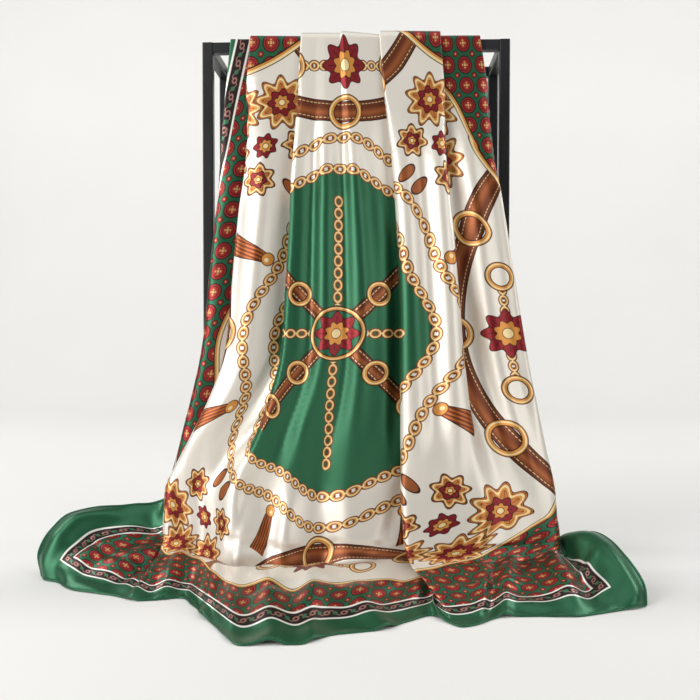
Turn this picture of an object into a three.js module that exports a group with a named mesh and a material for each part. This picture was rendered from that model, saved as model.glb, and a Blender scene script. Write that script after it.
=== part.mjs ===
// Silk square scarf laid over the front top bar of a slim metal display rack.
// Units are millimetres, +Z is up and the front faces -Y.
import * as THREE from 'three';

// Driving sizes of the cloth
const CLOTH = { side: 900, wall: 1, tail: 112, floorGap: 0.02 };

// Driving sizes of the rack, a box frame of square tube
const RACK = { width: 350, depth: 120, height: 600, tube: 12, round: 1.4, roundSteps: 3, gap: 0.3 };

// How finely the cloth is divided: across, on half a fold and on the panel between two folds,
// and along, on the tail behind the bar, on each corner of the bar, on the hang and on the floor
const STEPS = { halfFold: 2, panel: 2, tail: 3, corner: 2, hang: 9, floor: 16 };

// Distance along the cloth, from the back hem, at which each height is reached
const ALONG = { mid: 452, low: 622, hem: CLOTH.side };

// Side profile of the hanging cloth at those heights: how far forward and how high it is
const PROFILE = { midForward: 105, midHeight: 266, lowForward: 104, lowHeight: 100 };

// Each fold runs from the bar to the front hem. A fold turns round a centre, toward the viewer or away.
// turn: 1 is a valley and -1 a ridge, seen from the front; 0 is a hem
// x and fore: the centre across, and toward the viewer, on the bar, at mid height and low down
// xHem and front: the centre at the front hem; roll: depth of the dip where the cloth meets the floor
// lift and bulge: how far the cloth stands up and spreads sideways on the way to the hem
const FOLDS = [
  { turn: 0, xBar: -108, foreBar: 0.1, xMid: -100, foreMid: -26,
    xLow: -186, foreLow: -30, xHem: -343, front: 120, roll: 0, lift: 45, bulge: -60 },
  { turn: -1, xBar: -141, foreBar: 1.05, xMid: -166, foreMid: -16,
    xLow: -206, foreLow: -22, xHem: -290, front: 166, roll: 0, lift: 10, bulge: -6 },
  { turn: 1, xBar: -44, foreBar: 1.15, xMid: -104, foreMid: -4,
    xLow: -176, foreLow: -4, xHem: -246, front: 190, roll: 0, lift: 0, bulge: 0 },
  { turn: -1, xBar: -118, foreBar: 4.45, xMid: -135, foreMid: 10,
    xLow: -203, foreLow: 10, xHem: -212, front: 201, roll: 0, lift: 0, bulge: 0 },
  { turn: 1, xBar: -4, foreBar: 4.2, xMid: -36, foreMid: 11,
    xLow: -166, foreLow: 22, xHem: -172, front: 196, roll: 8, lift: 0, bulge: 0 },
  { turn: -1, xBar: -60, foreBar: 7.15, xMid: -70, foreMid: 30,
    xLow: -124, foreLow: 32, xHem: -92, front: 322, roll: 22, lift: 0, bulge: 0 },
  { turn: 1, xBar: -44, foreBar: 8.8, xMid: -47, foreMid: 35,
    xLow: -98, foreLow: 34, xHem: -64, front: 324, roll: 24, lift: 0, bulge: 0 },
  { turn: -1, xBar: -34, foreBar: 6.9, xMid: -29, foreMid: 29,
    xLow: -72, foreLow: 30, xHem: -40, front: 318, roll: 24, lift: 0, bulge: 0 },
  { turn: 1, xBar: -17, foreBar: 8.2, xMid: -8, foreMid: 34,
    xLow: -36, foreLow: 33, xHem: -14, front: 300, roll: 20, lift: 0, bulge: 0 },
  { turn: -1, xBar: -13.5, foreBar: 8.6, xMid: 11, foreMid: 27,
    xLow: -6, foreLow: 31, xHem: 30, front: 277, roll: 6, lift: 0, bulge: 0 },
  { turn: 1, xBar: 58, foreBar: 2.9, xMid: 80, foreMid: 12,
    xLow: 90, foreLow: 24, xHem: 78, front: 240, roll: 0, lift: 0, bulge: 0 },
  { turn: -1, xBar: 29, foreBar: 8.25, xMid: 53, foreMid: 29,
    xLow: 54, foreLow: 46, xHem: 104, front: 268, roll: 0, lift: 0, bulge: 0 },
  { turn: -1, xBar: 95, foreBar: 6.85, xMid: 113, foreMid: 27,
    xLow: 130, foreLow: 40, xHem: 116, front: 262, roll: 2, lift: 0, bulge: 0 },
  { turn: 1, xBar: 76, foreBar: 4.15, xMid: 106, foreMid: 6,
    xLow: 160, foreLow: 40, xHem: 146, front: 242, roll: 2, lift: 0, bulge: 0 },
  { turn: -1, xBar: 140, foreBar: 1.85, xMid: 181, foreMid: 2,
    xLow: 214, foreLow: 12, xHem: 222, front: 232, roll: 0, lift: 8, bulge: 2 },
  { turn: 0, xBar: 40, foreBar: 0.1, xMid: 92, foreMid: -26,
    xLow: 165, foreLow: -28, xHem: 291, front: 200, roll: 0, lift: 32, bulge: 45 },
];

// Radius of the folds at each height
const RADIUS = { bar: 0.95, mid: 5.5, low: 6, hem: 4 };

// The cloth's run from low down to the hem on the floor. share: part of the way to the hem.
// roll: how much of a fold's own roll is added to the height there
const FLOOR_RUN = [
  { along: 622, share: 0, height: 100, roll: 0 },
  { along: 658, share: 0.05, height: 68, roll: 0 },
  { along: 690, share: 0.09, height: 46, roll: -0.4 },
  { along: 715, share: 0.13, height: 37, roll: -1 },
  { along: 745, share: 0.25, height: 30, roll: 0.1 },
  { along: 775, share: 0.43, height: 24, roll: 0.25 },
  { along: 830, share: 0.70, height: 13, roll: 0.2 },
  { along: 866, share: 0.875, height: 5, roll: 0 },
  { along: 900, share: 1, height: 0.7, roll: 0 },
];

// The flaps that spread on the floor on each side. out: how much of a fold's bulge is added to x.
// up: how much of its lift is added to the height
const FLAPS = {
  left: [
    { along: 622, out: 0, up: 0 },
    { along: 658, out: 0.3, up: 0.3 },
    { along: 715, out: 0.8, up: 0.8 },
    { along: 775, out: 1, up: 1 },
    { along: 830, out: 0.75, up: 0.75 },
    { along: 866, out: 0.45, up: 0.45 },
    { along: 900, out: 0, up: 0 },
  ],
  right: [
    { along: 622, out: 0, up: 0 },
    { along: 658, out: 0.5, up: 0 },
    { along: 690, out: 1, up: 0 },
    { along: 715, out: 1, up: 0.1 },
    { along: 745, out: 0.95, up: 0.6 },
    { along: 775, out: 0.9, up: 1 },
    { along: 830, out: 0.6, up: 0.85 },
    { along: 866, out: 0.4, up: 0.5 },
    { along: 900, out: 0, up: 0 },
  ],
};

// Smooth curve through rows of one table column, which never overshoots them
function smoothThrough(rows, column, at) {
  let i = 0;
  while (i < rows.length - 2 && at > rows[i + 1].along) i += 1;
  const before = rows[Math.max(i - 1, 0)];
  const start = rows[i];
  const end = rows[i + 1];
  const after = rows[Math.min(i + 2, rows.length - 1)];
  const span = end.along - start.along;
  const slope = (a, b) => (b.along === a.along ? 0 : (b[column] - a[column]) / (b.along - a.along));
  const level = (a, b) => (a * b > 0 ? 2 * a * b / (a + b) : 0);
  const here = slope(start, end);
  const slopeIn = (start === before ? here : level(slope(before, start), here)) * span;
  const slopeOut = (end === after ? here : level(here, slope(end, after))) * span;
  const p = THREE.MathUtils.clamp((at - start.along) / span, 0, 1);
  const p2 = p * p;
  const p3 = p2 * p;
  return (2 * p3 - 3 * p2 + 1) * start[column] + (p3 - 2 * p2 + p) * slopeIn
    + (3 * p2 - 2 * p3) * end[column] + (p3 - p2) * slopeOut;
}

// Where the middle of the wall lies as it goes up behind the bar, over it and down the front
const SKIN = CLOTH.wall / 2 + RACK.gap;
const QUARTER = SKIN * Math.PI / 2;
const BAR_FRONT = -RACK.depth / 2;
const BAR_BACK = BAR_FRONT + RACK.tube;
const TOP_START = CLOTH.tail - RACK.tube / 2;
const TOP_END = CLOTH.tail + RACK.tube / 2;
const HANG_START = TOP_END + QUARTER;

function cornerPoint(cornerY, angle) {
  const normal = { y: Math.cos(angle), z: Math.sin(angle) };
  return { y: cornerY + SKIN * normal.y, z: RACK.height + SKIN * normal.z, normal };
}

function barPath(along) {
  if (along < TOP_START - QUARTER) {
    return { y: BAR_BACK + SKIN, z: RACK.height - (TOP_START - QUARTER - along), normal: { y: 1, z: 0 } };
  }
  if (along < TOP_START) {
    return cornerPoint(BAR_BACK, (along - TOP_START + QUARTER) / SKIN);
  }
  if (along < TOP_END) {
    return { y: BAR_BACK - (along - TOP_START), z: RACK.height + SKIN, normal: { y: 0, z: 1 } };
  }
  return cornerPoint(BAR_FRONT, Math.PI / 2 + Math.min((along - TOP_END) / SKIN, Math.PI / 2));
}

const HANG = [
  { along: HANG_START, forward: -BAR_FRONT + SKIN, height: RACK.height },
  { along: ALONG.mid, forward: PROFILE.midForward, height: PROFILE.midHeight },
  { along: ALONG.low, forward: PROFILE.lowForward, height: PROFILE.lowHeight },
];

// Centre and radius of one fold at one distance along the cloth
function foldAt(fold, along) {
  const rows = [
    { along: HANG_START, x: fold.xBar, fore: fold.foreBar, radius: RADIUS.bar },
    { along: ALONG.mid, x: fold.xMid, fore: fold.foreMid, radius: RADIUS.mid },
    { along: ALONG.low, x: fold.xLow, fore: fold.foreLow, radius: RADIUS.low },
  ];
  const low = rows[2];
  if (along <= ALONG.low) {
    const at = Math.max(along, HANG_START);
    const read = (column) => smoothThrough(rows, column, at);
    return { turn: fold.turn, x: read('x'), fore: read('fore'), radius: read('radius'), height: 0 };
  }
  const lowFront = PROFILE.lowForward + low.fore;
  const run = (column) => smoothThrough(FLOOR_RUN, column, along);
  const share = run('share');
  const opening = THREE.MathUtils.smoothstep(along, ALONG.low, ALONG.hem);
  const side = low.x < 0 ? FLAPS.left : FLAPS.right;
  const out = smoothThrough(side, 'out', along);
  const up = smoothThrough(side, 'up', along);
  return {
    turn: fold.turn,
    x: THREE.MathUtils.lerp(low.x, fold.xHem, share) + fold.bulge * out,
    fore: THREE.MathUtils.lerp(lowFront, fold.front, share),
    radius: THREE.MathUtils.lerp(RADIUS.low, RADIUS.hem, opening),
    height: run('height') + fold.roll * run('roll') + fold.lift * up,
  };
}

// Shortest panel between two folds, and how far a fold may bend against its own turn, in radians
const LEAST_PANEL = 0.001;
const BACK_BEND = 0.8;

// Direction of the straight panel from one fold to the next, each tangent to its circle
function panelAngle(from, to) {
  const across = to.x - from.x;
  const fore = to.fore - from.fore;
  const offset = to.turn * to.radius - from.turn * from.radius;
  const length = Math.sqrt(Math.max(across ** 2 + fore ** 2 - offset ** 2, LEAST_PANEL ** 2));
  return Math.atan2(fore, across) - Math.atan2(offset, length);
}

function pointOn(circle, angle) {
  return {
    x: circle.x + circle.turn * circle.radius * Math.sin(angle),
    fore: circle.fore - circle.turn * circle.radius * Math.cos(angle),
  };
}

// How far the cloth turns round a fold, between the panels before and after it
function bendRound(fold, arrive, leave) {
  let bend = leave - arrive;
  while (bend * fold.turn < -BACK_BEND) bend += fold.turn * 2 * Math.PI;
  while (bend * fold.turn > 2 * Math.PI - BACK_BEND) bend -= fold.turn * 2 * Math.PI;
  return bend;
}

// Each point's length along its row, then its height, which eases from one fold to the next
function measureRow(points, marks, folds) {
  let reach = 0;
  points.forEach((point, i) => {
    if (i > 0) reach += Math.hypot(point.x - points[i - 1].x, point.fore - points[i - 1].fore);
    point.reach = reach;
  });
  for (let k = 0; k + 1 < folds.length; k += 1) {
    const from = points[marks[k]].reach;
    const to = points[marks[k + 1]].reach;
    for (let i = marks[k]; i <= marks[k + 1]; i += 1) {
      const p = THREE.MathUtils.smoothstep(points[i].reach, from, to);
      points[i].height = THREE.MathUtils.lerp(folds[k].height, folds[k + 1].height, p);
    }
  }
}

// One row of the cloth: the line that passes all the folds, from hem to hem
function crossLine(along) {
  const folds = FOLDS.map((fold) => foldAt(fold, along));
  const last = folds.length - 1;
  const points = [];
  const marks = [];
  let arrive = panelAngle(folds[0], folds[1]);
  for (let k = 0; k <= last; k += 1) {
    const leave = k < last ? panelAngle(folds[k], folds[k + 1]) : arrive;
    const halfSteps = folds[k].turn === 0 ? 0 : STEPS.halfFold;
    const bend = halfSteps > 0 ? bendRound(folds[k], arrive, leave) : 0;
    marks.push(points.length + halfSteps);
    for (let i = 0; i <= 2 * halfSteps; i += 1) {
      points.push(pointOn(folds[k], arrive + bend * i / Math.max(2 * halfSteps, 1)));
    }
    if (k < last) {
      const start = points[points.length - 1];
      const end = pointOn(folds[k + 1], leave);
      for (let i = 1; i < STEPS.panel; i += 1) {
        const p = i / STEPS.panel;
        points.push({
          x: THREE.MathUtils.lerp(start.x, end.x, p),
          fore: THREE.MathUtils.lerp(start.fore, end.fore, p),
        });
      }
    }
    arrive = leave;
  }
  measureRow(points, marks, folds);
  return points;
}

// Place one row of the cloth in space
function placeRow(along) {
  const points = crossLine(along);
  if (along > ALONG.low) {
    return points.map((point) => new THREE.Vector3(point.x, -point.fore, point.height));
  }
  if (along < HANG_START) {
    const { y, z, normal } = barPath(along);
    return points.map((point) => (
      new THREE.Vector3(point.x, y + point.fore * normal.y, z + point.fore * normal.z)
    ));
  }
  const forward = smoothThrough(HANG, 'forward', along);
  const height = smoothThrough(HANG, 'height', along);
  return points.map((point) => new THREE.Vector3(point.x, -forward - point.fore, height));
}

function steps(from, to, count) {
  return Array.from({ length: count }, (_, i) => from + (to - from) * i / count);
}

const ROWS = [
  ...steps(0, TOP_START - QUARTER, STEPS.tail),
  ...steps(TOP_START - QUARTER, TOP_START, STEPS.corner),
  TOP_START,
  ...steps(TOP_END, HANG_START, STEPS.corner),
  ...steps(HANG_START, ALONG.low, STEPS.hang),
  ...steps(ALONG.low, ALONG.hem, STEPS.floor),
  ALONG.hem,
];

// A wall of even thickness on a grid of points, closed along its four edges
function wallFrom(grid, thickness) {
  const rows = grid.length;
  const columns = grid[0].length;
  const at = (r, c) => grid[THREE.MathUtils.clamp(r, 0, rows - 1)][THREE.MathUtils.clamp(c, 0, columns - 1)];
  const vertices = [];
  for (const side of [1, -1]) {
    for (let r = 0; r < rows; r += 1) {
      for (let c = 0; c < columns; c += 1) {
        const across = at(r, c + 1).clone().sub(at(r, c - 1));
        const down = at(r + 1, c).clone().sub(at(r - 1, c));
        const out = down.cross(across).normalize();
        vertices.push(at(r, c).clone().addScaledVector(out, side * thickness / 2));
      }
    }
  }
  const index = [];
  const id = (side, r, c) => side * rows * columns + r * columns + c;
  const quad = (a, b, c, d) => index.push(a, b, c, a, c, d);
  for (let r = 0; r + 1 < rows; r += 1) {
    for (let c = 0; c + 1 < columns; c += 1) {
      quad(id(0, r, c), id(0, r + 1, c), id(0, r + 1, c + 1), id(0, r, c + 1));
      quad(id(1, r, c), id(1, r, c + 1), id(1, r + 1, c + 1), id(1, r + 1, c));
    }
    quad(id(0, r, 0), id(1, r, 0), id(1, r + 1, 0), id(0, r + 1, 0));
    quad(id(0, r, columns - 1), id(0, r + 1, columns - 1), id(1, r + 1, columns - 1), id(1, r, columns - 1));
  }
  for (let c = 0; c + 1 < columns; c += 1) {
    quad(id(0, 0, c), id(0, 0, c + 1), id(1, 0, c + 1), id(1, 0, c));
    quad(id(0, rows - 1, c), id(1, rows - 1, c), id(1, rows - 1, c + 1), id(0, rows - 1, c + 1));
  }
  const positions = vertices.flatMap((v) => [v.x, v.y, Math.max(v.z, CLOTH.floorGap)]);
  const geometry = new THREE.BufferGeometry();
  geometry.setAttribute('position', new THREE.Float32BufferAttribute(positions, 3));
  geometry.setIndex(index);
  geometry.computeVertexNormals();
  return geometry;
}

const group = new THREE.Group();

function addCloth() {
  const satin = new THREE.MeshStandardMaterial({ color: 0x2e6b47, roughness: 0.35, metalness: 0 });
  const cloth = new THREE.Mesh(wallFrom(ROWS.map(placeRow), CLOTH.wall), satin);
  cloth.name = 'scarf_cloth';
  group.add(cloth);
}

// A square tube with rounded edges, along Z from 0 to its length
function tubeGeometry(length) {
  const half = RACK.tube / 2;
  const flat = half - RACK.round;
  const outline = new THREE.Shape();
  outline.moveTo(flat, -half);
  outline.absarc(flat, -flat, RACK.round, -Math.PI / 2, 0, false);
  outline.absarc(flat, flat, RACK.round, 0, Math.PI / 2, false);
  outline.absarc(-flat, flat, RACK.round, Math.PI / 2, Math.PI, false);
  outline.absarc(-flat, -flat, RACK.round, Math.PI, Math.PI * 1.5, false);
  const settings = { depth: length, bevelEnabled: false, curveSegments: RACK.roundSteps };
  return new THREE.ExtrudeGeometry(outline, settings);
}

const blackSteel = new THREE.MeshStandardMaterial({ color: 0x17181a, roughness: 0.4, metalness: 0.6 });

function addTube(name, length, place) {
  const tube = new THREE.Mesh(tubeGeometry(length), blackSteel);
  tube.name = name;
  place(tube);
  group.add(tube);
}

function addRack() {
  const half = RACK.tube / 2;
  const sideX = RACK.width / 2 - half;
  const sideY = RACK.depth / 2 - half;
  const wide = RACK.width - 2 * RACK.tube - 2 * RACK.gap;
  const deep = RACK.depth - 2 * RACK.tube - 2 * RACK.gap;
  const levels = { bottom: half, top: RACK.height - half };
  for (const [depthName, y] of [['front', -sideY], ['rear', sideY]]) {
    for (const [sideName, x] of [['left', -sideX], ['right', sideX]]) {
      addTube(`rack_post_${depthName}_${sideName}`, RACK.height, (tube) => tube.position.set(x, y, 0));
    }
    for (const [levelName, z] of Object.entries(levels)) {
      addTube(`rack_${levelName}_bar_${depthName}`, wide, (tube) => {
        tube.rotation.y = Math.PI / 2;
        tube.position.set(-wide / 2, y, z);
      });
    }
  }
  for (const [sideName, x] of [['left', -sideX], ['right', sideX]]) {
    for (const [levelName, z] of Object.entries(levels)) {
      addTube(`rack_${levelName}_bar_${sideName}`, deep, (tube) => {
        tube.rotation.x = -Math.PI / 2;
        tube.position.set(x, -deep / 2, z);
      });
    }
  }
}

addCloth();
addRack();

// The part's origin is under the middle of its own box
const whole = new THREE.Box3().setFromObject(group, true);
const middle = whole.getCenter(new THREE.Vector3());
group.position.set(-middle.x, -middle.y, 0);

export default group;
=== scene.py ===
import math

import bmesh
import bpy
import numpy as np
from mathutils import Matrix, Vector, noise


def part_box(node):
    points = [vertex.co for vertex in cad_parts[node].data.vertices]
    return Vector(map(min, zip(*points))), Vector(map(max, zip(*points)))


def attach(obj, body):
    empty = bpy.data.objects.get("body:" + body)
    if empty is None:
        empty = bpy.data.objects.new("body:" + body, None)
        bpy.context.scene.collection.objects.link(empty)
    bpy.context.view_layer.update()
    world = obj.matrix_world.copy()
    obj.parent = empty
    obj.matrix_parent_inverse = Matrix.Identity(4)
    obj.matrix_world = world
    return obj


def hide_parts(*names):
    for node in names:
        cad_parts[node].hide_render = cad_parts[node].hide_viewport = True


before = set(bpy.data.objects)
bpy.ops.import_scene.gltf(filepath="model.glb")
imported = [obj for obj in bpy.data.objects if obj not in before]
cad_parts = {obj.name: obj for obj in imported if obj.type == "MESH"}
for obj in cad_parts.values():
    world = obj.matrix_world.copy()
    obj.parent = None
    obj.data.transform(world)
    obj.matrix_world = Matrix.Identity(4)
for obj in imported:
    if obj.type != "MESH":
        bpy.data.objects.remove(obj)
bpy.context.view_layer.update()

bl_info = {
    "name": "Silk scarf on a display rack",
    "version": (1, 0, 0),
    "blender": (4, 5, 0),
    "location": "View3D > Sidebar > Scarf",
    "description": "Dresses the rack and its folded silk square with satin, print, hem and stitches",
    "category": "Object",
}

MM = 0.001

# Sizes of the cloth and the rack in millimetres, as the frame has them
SIDE = 900.0
HALF = SIDE / 2
TAIL = 112.0
WALL = 1.0
RACK_GAP = 0.3
FLOOR_GAP = 0.05
RACK_LOW, RACK_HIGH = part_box("rack_post_front_left")
TUBE = (RACK_HIGH.x - RACK_LOW.x) / MM
RACK_HEIGHT = RACK_HIGH.z / MM
RACK_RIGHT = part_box("rack_post_rear_right")[1]
RACK_MIDDLE = Vector(((RACK_LOW.x + RACK_RIGHT.x) / 2, (RACK_LOW.y + RACK_RIGHT.y) / 2, 0))
RACK_DEPTH = (RACK_RIGHT.y - RACK_LOW.y) / MM

# Distance along the cloth from its back hem, and the side profile there
MID_ALONG = 452.0
LOW_ALONG = 622.0
SKIN = WALL / 2 + RACK_GAP
QUARTER = SKIN * math.pi / 2
BAR_FRONT = -RACK_DEPTH / 2
BAR_BACK = BAR_FRONT + TUBE
TOP_START = TAIL - TUBE / 2
TOP_END = TAIL + TUBE / 2
HANG_START = TOP_END + QUARTER
LOW_FORWARD = 104.0

# The hang's rows: along, forward, height
HANG = (
    (HANG_START, -BAR_FRONT + SKIN, RACK_HEIGHT),
    (MID_ALONG, 105.0, 266.0),
    (LOW_ALONG, LOW_FORWARD, 100.0),
)

# The floor run's rows: along, share of the way to the hem, height, and part of a fold's own roll
FLOOR_RUN = (
    (622, 0, 100, 0), (658, 0.05, 68, 0), (690, 0.09, 46, -0.4), (715, 0.13, 37, -1), (745, 0.25, 30, 0.1),
    (775, 0.43, 24, 0.25), (830, 0.70, 13, 0.2), (866, 0.875, 5, 0), (900, 1, 0.7, 0),
)

# The flaps that spread on each side: along, part of a fold's bulge, and part of its lift
LEFT_FLAP = (
    (622, 0, 0), (658, 0.3, 0.3), (715, 0.8, 0.8), (775, 1, 1), (830, 0.75, 0.75), (866, 0.45, 0.45),
    (900, 0, 0),
)
RIGHT_FLAP = (
    (622, 0, 0), (658, 0.5, 0), (690, 1, 0), (715, 1, 0.1), (745, 0.95, 0.6), (775, 0.9, 1),
    (830, 0.6, 0.85), (866, 0.4, 0.5), (900, 0, 0),
)

# The folds from the left hem to the right one. turn: 1 a valley, -1 a ridge, 0 a hem.
# Then x and fore on the bar, at mid height and low down, x and front at the hem, and the roll
FOLDS = (
    (0, -108, 0.1, -100, -26, -186, -30, -343, 120, 0, 45, -60),
    (-1, -141, 1.05, -166, -16, -206, -22, -290, 166, 0, 10, -6),
    (1, -44, 1.15, -104, -4, -176, -4, -246, 190, 0, 0, 0),
    (-1, -118, 4.45, -135, 10, -203, 10, -212, 201, 0, 0, 0),
    (1, -4, 4.2, -36, 11, -166, 22, -172, 196, 8, 0, 0),
    (-1, -60, 7.15, -70, 30, -124, 32, -92, 322, 22, 0, 0),
    (1, -44, 8.8, -47, 35, -98, 34, -64, 324, 24, 0, 0),
    (-1, -34, 6.9, -29, 29, -72, 30, -40, 318, 24, 0, 0),
    (1, -17, 8.2, -8, 34, -36, 33, -14, 300, 20, 0, 0),
    (-1, -13.5, 8.6, 11, 27, -6, 31, 30, 277, 6, 0, 0),
    (1, 58, 2.9, 80, 12, 90, 24, 78, 240, 0, 0, 0),
    (-1, 29, 8.25, 53, 29, 54, 46, 104, 268, 0, 0, 0),
    (-1, 95, 6.85, 113, 27, 130, 40, 116, 262, 2, 0, 0),
    (1, 76, 4.15, 106, 6, 160, 40, 146, 242, 2, 0, 0),
    (-1, 140, 1.85, 181, 2, 214, 12, 222, 232, 0, 8, 2),
    (0, 40, 0.1, 92, -26, 165, -28, 291, 200, 0, 32, 45),
)
TURN, X_BAR, FORE_BAR, X_MID, FORE_MID, X_LOW, FORE_LOW, X_HEM, FRONT, ROLL, LIFT, BULGE = range(12)
RADIUS_BAR, RADIUS_MID, RADIUS_LOW, RADIUS_HEM = 0.95, 5.5, 6.0, 4.0

# Shortest panel between two folds, and how far a fold may bend against its own turn, in radians
LEAST_PANEL = 0.001
BACK_BEND = 0.8

# Soft falls that run down the cloth. A place is a fold's number plus the part of the panel after it.
# place and along at the top, place and along at the foot, half width, rise toward the face
FALLS = (
    (0.55, 190, 0.50, 640, 12, 2.5),
    (1.45, 200, 1.50, 600, 13, -3.0),
    (1.75, 240, 1.80, 610, 10, 2.5),
    (2.50, 220, 2.50, 560, 9, 2.5),
    (3.22, 170, 3.30, 590, 12, 4.5),
    (3.48, 165, 3.60, 560, 10, -4.5),
    (3.70, 260, 3.85, 600, 8, 2.0),
    (5.00, 190, 4.95, 600, 8, 3.5),
    (6.00, 180, 6.00, 600, 7, -4.0),
    (7.00, 190, 7.00, 610, 8, 3.5),
    (8.00, 170, 8.00, 600, 7, -4.0),
    (9.00, 200, 8.90, 590, 9, 3.0),
    (9.50, 180, 9.45, 600, 9, -3.5),
    (11.25, 190, 11.22, 620, 12, 3.5),
    (11.50, 165, 11.52, 590, 11, -5.0),
    (11.80, 210, 11.78, 640, 9, 2.5),
    (13.30, 200, 13.35, 600, 10, -3.5),
    (13.60, 175, 13.58, 640, 10, 4.0),
    (13.85, 260, 13.82, 560, 8, -2.5),
    (14.40, 220, 14.45, 620, 12, 3.0),
    (14.75, 200, 14.70, 600, 11, -3.0),
    (5.60, 590, 4.60, 720, 9, -3.5),
    (7.40, 600, 6.60, 720, 10, 3.0),
    (9.70, 585, 9.20, 730, 10, -3.0),
    (12.40, 600, 11.70, 740, 9, 3.0),
    (13.60, 640, 13.20, 800, 10, -3.0),
    (5.50, 745, 5.20, 860, 16, -3.5),
    (7.50, 740, 8.20, 870, 18, 3.5),
    (9.60, 750, 9.40, 860, 14, -3.0),
    (1.50, 720, 1.30, 860, 16, 3.5),
    (2.50, 740, 2.50, 860, 10, -2.5),
    (14.50, 760, 14.40, 870, 14, -3.5),
    (0.50, 740, 0.45, 850, 16, -4.0),
    (0.80, 700, 0.70, 880, 11, 7.5),
    (0.25, 730, 0.22, 935, 12, 7.0),
    (1.80, 700, 1.70, 880, 10, -6.0),
    (2.80, 690, 2.75, 935, 9, 6.5),
    (3.60, 690, 3.50, 930, 10, 6.0),
    (4.60, 720, 4.40, 935, 12, 6.5),
    (12.30, 715, 12.20, 885, 9, 6.0),
    (13.10, 700, 13.00, 935, 10, 7.0),
    (13.80, 690, 13.90, 885, 11, 7.5),
    (14.30, 700, 14.20, 885, 10, -6.5),
    (14.70, 690, 14.80, 935, 12, 7.5),
    (6.20, 750, 5.90, 940, 14, 7.5),
    (7.60, 745, 7.30, 940, 12, 5.5),
    (8.60, 760, 9.20, 940, 14, 7.0),
    (9.90, 730, 10.40, 935, 10, 7.0),
)

# Creases that run across the cloth: place and along at the left, at the right, half width, rise
CREASES = (
    (4.60, 676, 8.40, 694, 4.5, -3.5),
    (4.90, 690, 7.60, 704, 4.0, 2.5),
    (8.20, 680, 11.40, 712, 5.0, -3.0),
    (11.60, 700, 13.40, 690, 5.0, -3.0),
    (0.80, 700, 2.60, 735, 6.0, 3.0),
    (13.60, 742, 14.60, 724, 6.0, -3.5),
    (0.40, 800, 2.20, 812, 7.0, -2.5),
    (5.20, 800, 8.90, 786, 8.0, -2.5),
    (10.20, 790, 13.50, 806, 7.0, 2.5),
    (13.80, 812, 14.80, 792, 8.0, 3.0),
)

# Waves of the tail that hangs behind the bar: x of the middle, half width, how far out at the hem, lean
TAIL_WAVES = (
    (-116, 15, 5.5, 0.10),
    (-84, 11, -3.0, -0.05),
    (-50, 18, 6.5, 0.14),
    (-12, 13, -3.5, 0.04),
    (24, 16, 5.0, -0.10),
    (61, 12, -3.0, 0.08),
    (97, 19, 6.5, -0.16),
    (128, 11, -2.5, 0.05),
)
TAIL_FREE = TAIL - 2 * TUBE

# Distances along the cloth between which the print spreads evenly over the bar
BAR_PRINT = (78.0, 152.0)

# How far the falls fade along their length and the creases over the folds that they cross, and where
# along the cloth there is room for both
FADE_ALONG, FADE_PLACE = 55.0, 0.35
ROOM_FROM, ROOM_FULL = 165.0, 300.0

# The dip on both sides of a fall or crease: its depth, and how much wider it reaches
DIP, DIP_REACH = 0.3, 5

# Slight waves over the flat square, long and short: size across, size along, and place in the noise.
# Then the rise of the long ones, of the short ones, and what the short ones rise more on the floor
LONG_WAVE, SHORT_WAVE = (26, 150, 3.1), (40, 34, 7.7)
LONG_RISE, SHORT_RISE, FLOOR_RISE = 1.5, 0.5, 2.9

# Where along the cloth its folds are rounded, and how strongly in each round, across and along it
SOFT_FROM, SOFT_FULL = 170, 330
SOFT_ACROSS, SOFT_ALONG = 0.5, 0.4

# Radius of the rolled hem in the tight folds at the bar. Then the lines of stitches: how far inside the
# hem, how high on it in radii, and their lowest height in lengths of a stitch
HEM_AT_BAR = 0.45
STITCH_INSET, STITCH_RISE, STITCH_LIFT = 0.5, 0.6, 0.6

# The draped cloth, kept for the hem and the stitches that run along its edges
DRAPED = {}

# Where the print's axis runs down the cloth: along, x
PRINT_AXIS = ((0, -12), (HANG_START, -12), (MID_ALONG, -14), (LOW_ALONG, -34), (SIDE, -46))

# How far across the flat square the right-hand ridge stands at most, and how strongly at each row
RIGHT_RIDGE, RIDGE_ACROSS = 14, 316.0
RIDGE_PULL = ((0, 0), (250, 0), (340, 1), (650, 1), (730, 0), (SIDE, 0))


def smooth_through(rows, column, at):
    """Smooth curve through one column of a table, which never overshoots it."""
    i = 0
    while i < len(rows) - 2 and at > rows[i + 1][0]:
        i += 1

    def slope(a, b):
        return (rows[b][column] - rows[a][column]) / (rows[b][0] - rows[a][0])

    def level(a, b):
        return 2 * a * b / (a + b) if a * b > 0 else 0.0

    here = slope(i, i + 1)
    span = rows[i + 1][0] - rows[i][0]
    rise_in = (here if i == 0 else level(slope(i - 1, i), here)) * span
    rise_out = (here if i + 2 >= len(rows) else level(here, slope(i + 1, i + 2))) * span
    p = min(max((at - rows[i][0]) / span, 0), 1)
    return (
        (2 * p**3 - 3 * p**2 + 1) * rows[i][column]
        + (p**3 - 2 * p**2 + p) * rise_in
        + (3 * p**2 - 2 * p**3) * rows[i + 1][column]
        + (p**3 - p**2) * rise_out
    )


def smoothstep(value, low, high):
    """0 up to low, 1 from high on and a soft rise between them, for a number or an array."""
    p = np.clip((value - low) / (high - low), 0, 1)
    return p * p * (3 - 2 * p)


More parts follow.
